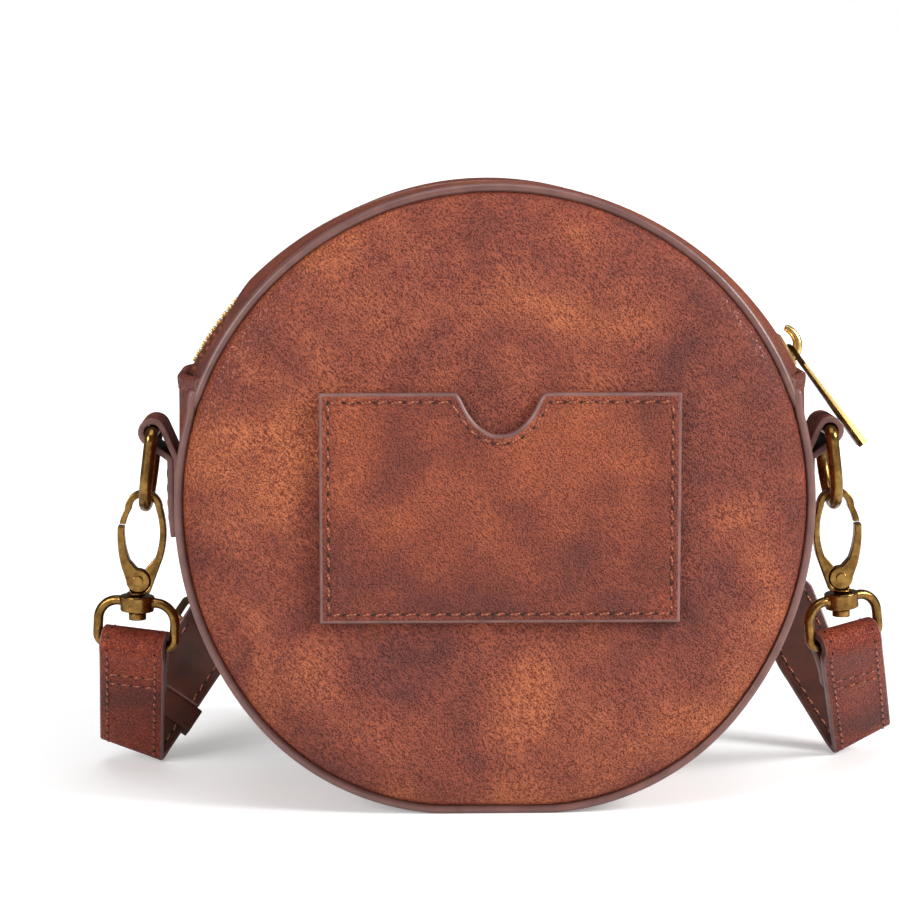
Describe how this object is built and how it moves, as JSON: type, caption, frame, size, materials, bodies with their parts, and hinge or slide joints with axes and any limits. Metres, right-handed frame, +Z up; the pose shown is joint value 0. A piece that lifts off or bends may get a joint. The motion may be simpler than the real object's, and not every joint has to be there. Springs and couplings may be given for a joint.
{
  "type": "circle bag",
  "caption": "Round zip-top leather cross-body bag with a card pocket, swivel-clipped buckled strap and brass hardware.",
  "frame": {"origin": "centre of the flat patch of the gusset that the bag stands on", "axes": "+X to the right seen from the card-pocket side, +Y from the card pocket to the plain face, +Z up"},
  "size_m": [0.2496, 0.1441, 0.1825],
  "materials": {
    "brown_leather": "mottled, satin",
    "piping_leather": "smooth, satin",
    "piping_cord": "matte",
    "stiffener_board": "matte",
    "lining_cloth": "matte twill",
    "zip_tape": "matte woven",
    "zip_brass": "polished",
    "antique_brass": "antiqued",
    "spring_steel": "bare"
  },
  "bodies": {
    "bag": {"front_panel": "brown_leather", "back_panel": "brown_leather", "lower_gusset": "brown_leather", "zip_strip_front": "brown_leather", "zip_strip_back": "brown_leather", "card_pocket": "brown_leather", "ring_tab_left": "brown_leather", "ring_tab_right": "brown_leather", "strap_short": "brown_leather", "strap_long": "brown_leather", "strap_keeper": "brown_leather", "front_piping": "piping_leather", "back_piping": "piping_leather", "front_piping_cord": "piping_cord", "back_piping_cord": "piping_cord", "front_stiffener": "stiffener_board", "back_stiffener": "stiffener_board", "lining_front": "lining_cloth", "lining_back": "lining_cloth", "lining_gusset": "lining_cloth", "zip_tape_front": "zip_tape", "zip_tape_back": "zip_tape", "zip_teeth_front": "zip_brass", "zip_teeth_back": "zip_brass", "buckle_frame": "antique_brass"},
    "zip_slider": {"slider_body": "zip_brass"},
    "zip_pull": {"pull_tab": "zip_brass"},
    "buckle_prong": {"buckle_prong": "antique_brass"},
    "ring_left": {"ring_left": "antique_brass"},
    "swivel_eye_left": {"swivel_eye_left": "antique_brass"},
    "hook_left": {"hook_body_left": "antique_brass", "gate_rivet_left": "antique_brass", "gate_spring_left": "spring_steel"},
    "hook_gate_left": {"hook_gate_left": "antique_brass"},
    "ring_right": {"ring_right": "antique_brass"},
    "swivel_eye_right": {"swivel_eye_right": "antique_brass"},
    "hook_right": {"hook_body_right": "antique_brass", "gate_rivet_right": "antique_brass", "gate_spring_right": "spring_steel"},
    "hook_gate_right": {"hook_gate_right": "antique_brass"}
  },
  "joints": [
    {"name": "zip_slider_travel", "type": "hinge", "parent": "bag", "child": "zip_slider", "pos_m": [0, 0, 0.08032], "axis": [0, -1, 0], "range_deg": [0, 119]},
    {"name": "zip_pull_swing", "type": "hinge", "parent": "zip_slider", "child": "zip_pull", "pos_m": [0.08934, 0, 0.13294], "axis": [0, -1, 0], "range_deg": [0, 150]},
    {"name": "buckle_prong_lift", "type": "hinge", "parent": "bag", "child": "buckle_prong", "pos_m": [-0.08846, 0.04909, 0.03607], "axis": [-0.8259, 0.0399, 0.5624], "range_deg": [0, 6]},
    {"name": "ring_left_swing", "type": "hinge", "parent": "bag", "child": "ring_left", "pos_m": [-0.1002, 0, 0.1087], "axis": [0, 1, 0], "range_deg": [-0.5, 3]},
    {"name": "clip_left_tilt", "type": "hinge", "parent": "bag", "child": "swivel_eye_left", "pos_m": [-0.10666, 0.00014, 0.04342], "axis": [0.9768, -0.2076, -0.0523], "range_deg": [-1, 1]},
    {"name": "hook_left_swivel", "type": "hinge", "parent": "swivel_eye_left", "child": "hook_left", "pos_m": [-0.106, 0, 0.05622], "axis": [0, 0, 1], "range_deg": [-8, 8]},
    {"name": "gate_left_press", "type": "hinge", "parent": "hook_left", "child": "hook_gate_left", "pos_m": [-0.1056, 0, 0.0632], "axis": [0, 1, 0], "range_deg": [0, 25], "stiffness_Nm_per_rad": 0.004, "springref_deg": -17.19},
    {"name": "ring_right_swing", "type": "hinge", "parent": "bag", "child": "ring_right", "pos_m": [0.1002, 0, 0.1087], "axis": [0, -1, 0], "range_deg": [-0.5, 3]},
    {"name": "clip_right_tilt", "type": "hinge", "parent": "bag", "child": "swivel_eye_right", "pos_m": [0.10745, 0.00059, 0.0435], "axis": [0.9203, 0.3718, 0.1219], "range_deg": [-1, 1]},
    {"name": "hook_right_swivel", "type": "hinge", "parent": "swivel_eye_right", "child": "hook_right", "pos_m": [0.106, 0, 0.05622], "axis": [0, 0, 1], "range_deg": [-8, 8]},
    {"name": "gate_right_press", "type": "hinge", "parent": "hook_right", "child": "hook_gate_right", "pos_m": [0.1056, 0, 0.0632], "axis": [0, -1, 0], "range_deg": [0, 25], "stiffness_Nm_per_rad": 0.004, "springref_deg": -17.19}
  ]
}
